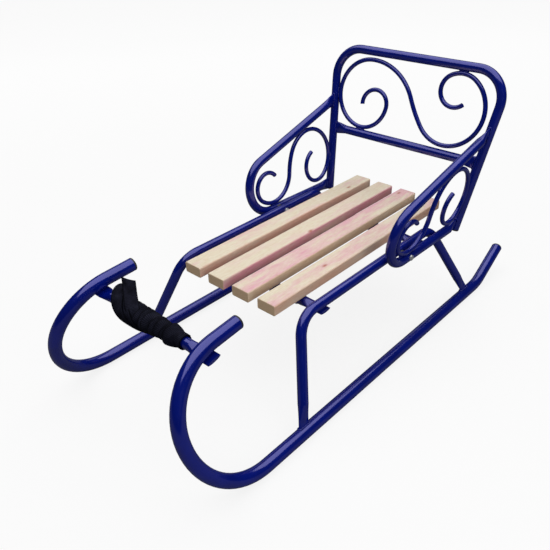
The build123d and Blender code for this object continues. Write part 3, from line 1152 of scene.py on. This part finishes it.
@dataclass
class TowStrap:
    """A webbing strap wound on the tow bar, with a loose layer, a slack turn and its free end standing."""

    width: float = 20.0 * MM
    thickness: float = 1.3 * MM
    steps_per_turn: int = 44
    winding: tuple[BandStation, ...] = (
        BandStation(0.0, -50.0, 9.0, 0.0, 0.0),
        BandStation(4.0, -49.0, 14.6, 2.0, 0.0),
        BandStation(5.0, -41.0, 15.0, 3.0, 2.0),
        BandStation(7.6, -14.0, 14.6, 3.2, 2.7),
        BandStation(9.3, 4.0, 13.8, 2.8, 3.1),
        BandStation(10.3, 15.0, 13.0, 2.2, 3.2),
        BandStation(11.3, 26.0, 12.0, 1.3, 3.2),
        BandStation(12.3, 37.0, 11.2, 0.6, 2.6),
        BandStation(13.3, 51.0, 11.2, 0.5, 2.2),
        BandStation(15.6, 56.0, 13.8, 1.2, 2.8),
    )
    under_winding: tuple[BandStation, ...] = (
        BandStation(0.0, -45.0, 9.0, 0.0, 0.0),
        BandStation(6.4, 44.0, 9.0, 0.0, 0.0),
        BandStation(8.0, 62.5, 9.4, 0.0, 0.0),
        BandStation(9.4, 63.5, 10.4, 0.0, 0.0),
    )
    inner_slack: tuple[BandStation, ...] = (
        BandStation(-0.32, 4.0, 13.0, 3.0, 0.0),
        BandStation(-0.2, -5.0, 15.8, 3.0, 0.5),
        BandStation(-0.08, -17.0, 17.0, 3.0, 1.0),
        BandStation(0.04, -31.0, 17.4, 3.0, 1.0),
        BandStation(0.15, -44.0, 17.6, 3.0, 0.5),
        BandStation(0.25, -54.0, 18.6, 3.0, 0.0),
        BandStation(0.36, -62.0, 20.0, 3.0, 0.0),
        BandStation(0.48, -62.0, 17.0, 2.0, 0.0),
        BandStation(0.62, -58.0, 12.0, 1.0, 0.0),
    )
    slack_turn: tuple[BandStation, ...] = (
        BandStation(-0.33, -4.0, 13.5, 3.0, 0.0),
        BandStation(-0.22, -12.0, 17.2, 3.0, 0.0),
        BandStation(-0.11, -24.0, 18.6, 3.0, 0.0),
        BandStation(0.03, -43.5, 18.8, 3.0, 0.0),
        BandStation(0.144, -55.3, 19.2, 3.0, 0.0),
        BandStation(0.228, -63.5, 20.4, 3.0, 0.0),
        BandStation(0.311, -70.5, 23.4, 3.0, 0.0),
        BandStation(0.375, -73.0, 28.2, 3.0, 0.0),
        BandStation(0.46, -72.5, 26.6, 3.0, 0.0),
        BandStation(0.56, -70.0, 20.6, 3.0, 0.0),
        BandStation(0.69, -64.0, 16.0, 2.0, 0.0),
        BandStation(0.83, -60.0, 12.0, 1.0, 0.0),
    )
    wobbles: tuple[tuple[float, float], ...] = ((0.37, 0.9 * MM), (1.13, 0.5 * MM), (2.41, 0.25 * MM))
    winding_crown: float = 0.9 * MM
    slack_crown: float = 1.7 * MM
    smooth_reach: int = 4
    free_end: tuple[Point, Point, Point, Point] = (
        (14.0, -15.0, 2.0),
        (9.0, -25.0, 16.0),
        (-6.0, -46.0, 18.0),
        (-16.0, -62.8, 31.1),
    )
    free_end_face: Point = (-0.1, 0.6, 0.79)
    free_end_steps: int = 24
    free_end_crown: tuple[float, float] = (3.2 * MM, -1.8 * MM)
    free_end_skew: float = 0.3
    flat_steps: int = 6
    roundness: int = 3
    axis: Vector = field(default_factory=lambda: Vector((0.0, 0.0, 0.0)))

    def helix(self, stations: tuple[BandStation, ...], crown: float) -> list[BandPoint]:
        """Follows the stations round the bar, with soft changes from one to the next.

        Args:
            stations: The band's stations in order of turns, from forwards over the top.
            crown: How far the band's middle stands above its edges.

        Returns:
            The band's points.
        """
        columns = numpy.array(stations) * (1.0, MM, MM, MM, MM)
        count = int((columns[-1, 0] - columns[0, 0]) * self.steps_per_turn) + 1
        turns = numpy.linspace(columns[0, 0], columns[-1, 0], count)
        window = numpy.hanning(2 * self.smooth_reach + 3)[1:-1]
        window /= window.sum()
        soft = []
        for column in columns.T[1:]:
            padded = numpy.pad(numpy.interp(turns, columns[:, 0], column), self.smooth_reach, "edge")
            soft.append(numpy.convolve(padded, window, "valid"))
        points = []
        for turn, place, radius, sag, lift in zip(turns.tolist(), *(column.tolist() for column in soft)):
            for rate, size in self.wobbles:
                place += lift / self.thickness * size * math.sin(rate * turn * math.tau + rate)
            angle = turn * math.tau
            outward = Vector((math.cos(angle), 0.0, math.sin(angle)))
            middle = self.axis + Vector((0.0, place, -sag)) + radius * outward
            points.append(BandPoint(middle, outward, lift, crown))
        return points

    def standing_end(self) -> list[BandPoint]:
        """Follows the free end, which comes out from under the winding and stands up.

        Returns:
            The band's points, from the winding to the tip.
        """
        corners = [Vector(point) * MM for point in self.free_end]
        face = Vector(self.free_end_face).normalized()
        points = []
        for number, offset in enumerate(interpolate_bezier(*corners, self.free_end_steps)):
            share = number / (self.free_end_steps - 1)
            radial = Vector((offset.x, 0.0, offset.z)).normalized()
            crown = (1 - share) * self.free_end_crown[0] + share * self.free_end_crown[1]
            turned_face = radial.lerp(face, share).normalized()
            skew = share * share * self.free_end_skew
            points.append(BandPoint(self.axis + offset, turned_face, 0.0, crown, skew))
        return points

    def section(self) -> list[tuple[float, float]]:
        """Draws the section of the flat band, with rounded edges.

        Returns:
            The points in order, as (across, out) from the band's middle.
        """
        half_thick = self.thickness / 2
        half_flat = self.width / 2 - half_thick
        points = []
        for side in (1.0, -1.0):
            for step in range(self.roundness + 1):
                angle = math.pi * (step / self.roundness - 0.5)
                across = half_flat + half_thick * math.cos(angle)
                points.append((side * across, side * half_thick * math.sin(angle)))
            for step in range(1, self.flat_steps):
                points.append((side * half_flat * (1 - 2 * step / self.flat_steps), side * half_thick))
        return points

    def band(self, points: list[BandPoint], uv_map: str) -> bmesh.types.BMesh:
        """Sweeps the band's section along its points.

        Args:
            points: Points on the band's middle.
            uv_map: Name of the UV map, in metres along and across the band.

        Returns:
            The closed band.
        """
        shell = bmesh.new()
        layer = shell.loops.layers.uv.new(uv_map)
        outline = self.section()
        rings = []
        travelled = 0.0
        lengths = []
        for number, (middle, outward, lift, crown, skew) in enumerate(points):
            before = points[max(number - 1, 0)].middle
            after = points[min(number + 1, len(points) - 1)].middle
            forward = (after - before).normalized()
            out = (outward - outward.dot(forward) * forward).normalized()
            side = out.cross(forward)
            if side.y < 0:
                side = -side
            travelled += (middle - before).length
            lengths.append(travelled)
            ring = []
            for across, rise in outline:
                share = across / (self.width / 2)
                raised = rise - lift * share - crown * share * share
                ring.append(shell.verts.new(middle + across * (side - skew * forward) + raised * out))
            rings.append(ring)
        count = len(outline)
        widths = [across for across, _ in outline]
        for number in range(len(rings) - 1):
            for step in range(count):
                after = (step + 1) % count
                corners = ((number, step), (number, after), (number + 1, after), (number + 1, step))
                face = shell.faces.new([rings[along][across] for along, across in corners])
                for loop, (along, across) in zip(face.loops, corners):
                    loop[layer].uv = (lengths[along], widths[across])
        shell.faces.new(rings[0])
        shell.faces.new(rings[-1])
        bmesh.ops.recalc_face_normals(shell, faces=shell.faces)
        return shell

    def build(self, parts: ShaderParts) -> bpy.types.Object:
        """Winds the strap.

        Args:
            parts: The shared shader groups.

        Returns:
            The strap as one piece that stands for the CAD sleeve.
        """
        low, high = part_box("tow_bar")
        self.axis = (low + high) / 2
        self.axis.y = 0.0
        finish = WebbingFinish()
        routes = [
            self.helix(self.winding, self.winding_crown),
            self.helix(self.under_winding, 0.0),
            self.helix(self.inner_slack, self.winding_crown),
            self.helix(self.slack_turn, self.slack_crown),
            self.standing_end(),
        ]
        bands = [self.band(points, finish.uv_map) for points in routes]
        mesh = to_mesh(join_shells(bands), "tow_strap_webbing")
        piece = add_piece("tow_strap_webbing", mesh, finish.make(parts))
        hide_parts("tow_strap")
        return piece


@dataclass
class Fasteners:
    """Bolts through the armrests, and screws up through the seat bars into the slats."""

    tube_radius: float = 8.0 * MM
    seat_gap: float = 0.3 * MM
    head_radius: float = 5.0 * MM
    head_height: float = 3.0 * MM
    head_rim: float = 0.6 * MM
    head_sink: float = 0.7 * MM
    head_rings: int = 6
    washer_radius: float = 5.6 * MM
    washer_thickness: float = 0.9 * MM
    nut_radius: float = 4.6 * MM
    nut_height: float = 4.0 * MM
    nut_bevel: float = 0.5 * MM
    thread_radius: float = 2.5 * MM
    thread_depth: float = 0.3 * MM
    thread_pitch: float = 0.8 * MM
    thread_length: float = 4.0 * MM
    screw_radius: float = 3.8 * MM
    screw_height: float = 2.3 * MM
    screw_sink: float = 0.5 * MM
    screw_rings: int = 4
    screw_narrowing: float = 0.32
    recess_reach: float = 2.1 * MM
    recess_half_width: float = 0.55 * MM
    recess_depth: float = 1.1 * MM
    recess_taper: float = 0.8
    nut_sides: int = 6
    segments: int = 28
    seed: int = 17

    def bolt_head(self) -> bmesh.types.BMesh:
        """Builds a domed bolt head with a thin rim, standing on Z = 0.

        Returns:
            The closed shell.
        """
        rim = self.head_rim
        outline = [Profile(self.head_radius, -self.head_sink), Profile(self.head_radius, rim)]
        for step in range(1, self.head_rings):
            angle = math.pi / 2 * step / self.head_rings
            height = rim + (self.head_height - rim) * math.sin(angle)
            outline.append(Profile(self.head_radius * math.cos(angle), height))
        return turned(outline, self.segments)

    def nut(self) -> bmesh.types.BMesh:
        """Builds a washer, a chamfered hexagon nut and the end of the thread, standing on Z = 0.

        Returns:
            The three closed shells as one.
        """
        base = -self.head_sink
        top = self.washer_thickness
        washer_corners = [Profile(self.washer_radius, base), Profile(self.washer_radius, top)]
        washer = turned(washer_corners, self.segments)
        small = self.nut_radius - self.nut_bevel
        end = top + self.nut_height
        corners = [
            Profile(small, top),
            Profile(self.nut_radius, top + self.nut_bevel),
            Profile(self.nut_radius, end - self.nut_bevel),
            Profile(small, end),
        ]
        hexagon = turned(corners, self.nut_sides)
        thread = [Profile(self.thread_radius, top)]
        for turn in range(int(self.thread_length / self.thread_pitch)):
            height = end + turn * self.thread_pitch
            thread.append(Profile(self.thread_radius - self.thread_depth, height))
            thread.append(Profile(self.thread_radius, height + self.thread_pitch / 2))
        thread.append(Profile(self.thread_radius - self.thread_depth, end + self.thread_length))
        return join_shells([washer, hexagon, turned(thread, self.segments)])

    def screw_head(self) -> bmesh.types.BMesh:
        """Builds a pan head with a cross recess, standing on Z = 0.

        Returns:
            The closed shell.
        """
        shell = bmesh.new()
        rim_height = self.screw_height / 3
        outline = [Profile(self.screw_radius, -self.screw_sink), Profile(self.screw_radius, rim_height)]
        for step in range(1, self.screw_rings):
            angle = math.pi / 2 * step / self.screw_rings
            radius = self.screw_radius * (1 - self.screw_narrowing * (1 - math.cos(angle)))
            outline.append(Profile(radius, rim_height * (1 + 2 * math.sin(angle))))
        highest = stack_rings(shell, outline, self.segments)
        top = outline[-1].height
        wide, narrow = self.recess_reach, self.recess_half_width
        cross = []
        for quarter in range(4):
            turn = Matrix.Rotation(quarter * math.pi / 2, 3, "Z")
            cross += [turn @ Vector((wide, -narrow, top)), turn @ Vector((wide, narrow, top))]
            cross.append(turn @ Vector((narrow, narrow, top)))
        upper = [shell.verts.new(point) for point in cross]
        taper, bottom = self.recess_taper, top - self.recess_depth
        lower = [shell.verts.new((point.x * taper, point.y * taper, bottom)) for point in cross]
        rim = [shell.edges.get(pair) for pair in zip(highest, highest[1:] + highest[:1])]
        edges = [shell.edges.new(pair) for pair in zip(upper, upper[1:] + upper[:1])]
        bmesh.ops.triangle_fill(shell, edges=rim + edges, use_beauty=True, use_dissolve=False)
        join_rings(shell, upper, lower)
        shell.faces.new(lower)
        return shell

    def set_on(
        self,
        name: str,
        part: bmesh.types.BMesh,
        places: list[tuple[Vector, Vector]],
        tree: bpy.types.NodeTree,
        material: bpy.types.Material,
    ) -> bpy.types.Object:
        """Sets a fastener on each place.

        Args:
            name: Name of the piece.
            part: The fastener, standing on Z = 0.
            places: Points with the way that each fastener faces.
            tree: The tree that sets fasteners.
            material: The fasteners' finish.

        Returns:
            All of them as one piece.
        """
        source = bpy.data.objects.new("fastener", to_mesh(part, "fastener"))
        mesh = bpy.data.meshes.new(name)
        mesh.from_pydata([point for point, _ in places], [], [])
        facing = mesh.attributes.new("facing", "FLOAT_VECTOR", "POINT")
        for entry, (_, way) in zip(facing.data, places):
            entry.vector = way
        values = {"Fastener": source, "Seed": self.seed, "Finish": material}
        result = grown(mesh, tree, values)
        bpy.data.objects.remove(source)
        smooth(result)
        return add_piece(name, result, material)

    def build(self, parts: ShaderParts) -> None:
        """Makes and sets all the fasteners.

        Args:
            parts: The shared shader groups.
        """
        tree = fastener_tree()
        zinc = ZINC.make(parts)
        heads = []
        nuts = []
        for side, sign in zip(SIDES, (1.0, -1.0)):
            low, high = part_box(f"armrest_spacer_{side}")
            middle = (low + high) / 2
            inner = min(abs(low.y), abs(high.y)) - self.seat_gap - 2 * self.tube_radius
            outer = max(abs(low.y), abs(high.y)) + self.seat_gap + 2 * self.tube_radius
            heads.append((Vector((middle.x, sign * outer, middle.z)), Vector((0.0, sign, 0.0))))
            nuts.append((Vector((middle.x, sign * inner, middle.z)), Vector((0.0, -sign, 0.0))))
        self.set_on("armrest_bolt_heads", self.bolt_head(), heads, tree, zinc)
        self.set_on("armrest_bolt_nuts", self.nut(), nuts, tree, zinc)
        screws = []
        for end in ("front", "rear"):
            low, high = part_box(f"seat_bar_{end}")
            for number in range(1, 5):
                slat_low, slat_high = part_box(f"slat_{number}")
                place = Vector(((low.x + high.x) / 2, (slat_low.y + slat_high.y) / 2, low.z))
                screws.append((place, -UP))
        self.set_on("slat_screws", self.screw_head(), screws, tree, zinc)
        spacer = SPACER_PLASTIC.make(parts)
        for side in SIDES:
            dress(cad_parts[f"armrest_spacer_{side}"], spacer)


@dataclass(frozen=True)
class Softbox:
    """A rectangular studio light that looks at the sled."""

    name: str
    place: Point
    width: float
    height: float
    power: float
    mirrored: bool = True

    def build(self, target: Vector) -> None:
        """Hangs the light and turns it to a target.

        Args:
            target: Point that the light looks at.
        """
        light = bpy.data.lights.new(self.name, "AREA")
        light.shape = "RECTANGLE"
        light.size = self.width
        light.size_y = self.height
        light.energy = self.power
        lamp = bpy.data.objects.new(self.name, light)
        lamp.location = self.place
        lamp.rotation_mode = "QUATERNION"
        lamp.rotation_quaternion = (target - lamp.location).to_track_quat("-Z", "Y")
        lamp.visible_camera = False
        lamp.visible_glossy = self.mirrored
        bpy.context.scene.collection.objects.link(lamp)


@dataclass
class Studio:
    """A pale floor, a pale surround, soft lights and the camera."""

    paper: float = 0.956
    ambient: float = 0.2
    mirror_share: float = 0.02
    floor_half_size: float = 9.0
    floor_glow: tuple[float, float] = (0.84, 0.92)
    floor_tone: float = 0.13
    glow_range: tuple[float, float] = (0.5, 3.0)
    camera_place: Point = (0.70363, 0.57181, 0.66439)
    camera_azimuth: float = 42.666
    camera_elevation: float = 31.899
    camera_roll: float = -0.959
    camera_lens: float = 40.014
    camera_sensor: float = 36.0
    lights: tuple[Softbox, ...] = (
        Softbox("overhead_softbox", (-0.1, -0.15, 1.95), 3.3, 3.0, 48.0),
        Softbox("far_softbox", (-1.3, -1.9, 1.0), 2.2, 1.0, 3.0),
        Softbox("near_fill", (1.1, 2.4, 1.2), 1.8, 1.4, 24.0, mirrored=False),
    )

    def seen_share(self, graph: Graph) -> bpy.types.NodeSocket:
        """Builds the share of the pale surround that a ray sees: whole for the camera, less for a mirror.

        Args:
            graph: Graph of the world or of the floor's material.

        Returns:
            The share.
        """
        path = graph.node("ShaderNodeLightPath").outputs
        mirrored = graph.calc("MAXIMUM", path["Is Glossy Ray"], path["Is Transmission Ray"])
        return graph.calc("MULTIPLY_ADD", mirrored, self.mirror_share, path["Is Camera Ray"])

    def build_world(self) -> None:
        """Makes a surround that looks pale and lights the sled softly."""
        world = bpy.data.worlds.new("studio")
        bpy.context.scene.world = world
        world.use_nodes = True
        world.node_tree.nodes.clear()
        graph = Graph(world.node_tree)
        path = graph.node("ShaderNodeLightPath").outputs
        direct = graph.calc("MAXIMUM", path["Is Camera Ray"], path["Is Glossy Ray"])
        lighting = graph.calc("SUBTRACT", 1.0, direct)
        seen = graph.calc("MULTIPLY", self.seen_share(graph), self.paper)
        strength = graph.calc("MULTIPLY_ADD", lighting, self.ambient, seen)
        back = graph.node("ShaderNodeBackground", {"Color": WHITE, "Strength": strength})
        graph.node("ShaderNodeOutputWorld", {"Surface": back.outputs["Background"]})

    def build_floor(self) -> None:
        """Lays the floor, which looks as pale as the surround and keeps a soft shadow."""
        half = self.floor_half_size
        mesh = bpy.data.meshes.new("studio_floor")
        corners = [(-half, -half, 0.0), (half, -half, 0.0), (half, half, 0.0), (-half, half, 0.0)]
        mesh.from_pydata(corners, [], [(0, 1, 2, 3)])
        floor = bpy.data.objects.new("studio_floor", mesh)
        bpy.context.scene.collection.objects.link(floor)
        material = bpy.data.materials.new("pale_floor")
        material.use_nodes = True
        material.node_tree.nodes.clear()
        graph = Graph(material.node_tree)
        place = graph.node("ShaderNodeTexCoord").outputs["Object"]
        distance = graph.vector_calc("LENGTH", place)
        glow = graph.spread(distance, self.glow_range, self.floor_glow, soft=True)
        strength = graph.calc("MULTIPLY", glow, self.seen_share(graph))
        tone = (self.floor_tone,) * 3 + (1.0,)
        matt = graph.node("ShaderNodeBsdfDiffuse", {"Color": tone})
        light = graph.node("ShaderNodeEmission", {"Strength": strength})
        both = graph.node("ShaderNodeAddShader", {0: matt.outputs["BSDF"], 1: light.outputs["Emission"]})
        graph.node("ShaderNodeOutputMaterial", {"Surface": both.outputs["Shader"]})
        mesh.materials.append(material)
        floor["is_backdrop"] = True

    def build_camera(self) -> None:
        """Sets the camera where the photograph was taken from."""
        azimuth = math.radians(self.camera_azimuth)
        elevation = math.radians(self.camera_elevation)
        level = math.cos(elevation)
        back = Vector((level * math.cos(azimuth), level * math.sin(azimuth), math.sin(elevation)))
        right = UP.cross(back).normalized()
        above = back.cross(right)
        turn = Matrix.Rotation(math.radians(self.camera_roll), 3, back)
        right, above = turn @ right, turn @ above
        lens = bpy.data.cameras.new("camera")
        lens.lens = self.camera_lens
        lens.sensor_width = self.camera_sensor
        camera = bpy.data.objects.new("camera", lens)
        axes = Matrix((right, above, back)).transposed().to_4x4()
        camera.matrix_world = Matrix.Translation(self.camera_place) @ axes
        bpy.context.scene.collection.objects.link(camera)
        bpy.context.scene.camera = camera

    def build(self, target: Vector) -> None:
        """Builds the whole studio.

        Args:
            target: Point that the lights look at.
        """
        self.build_world()
        self.build_floor()
        for light in self.lights:
            light.build(target)
        self.build_camera()
        bpy.context.scene.view_settings.view_transform = "Standard"
        log.info("studio with %d lights", len(self.lights))


def main() -> None:
    """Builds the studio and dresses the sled."""
    logging.basicConfig(level=logging.INFO, format="%(name)s: %(message)s")
    cad_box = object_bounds()
    Studio().build((cad_box[0] + cad_box[1]) / 2)
    parts = ShaderParts()
    SteelFrame().build(parts)
    Slats().build(parts)
    TowStrap().build(parts)
    Fasteners().build(parts)


if __name__ == "__main__":
    main()
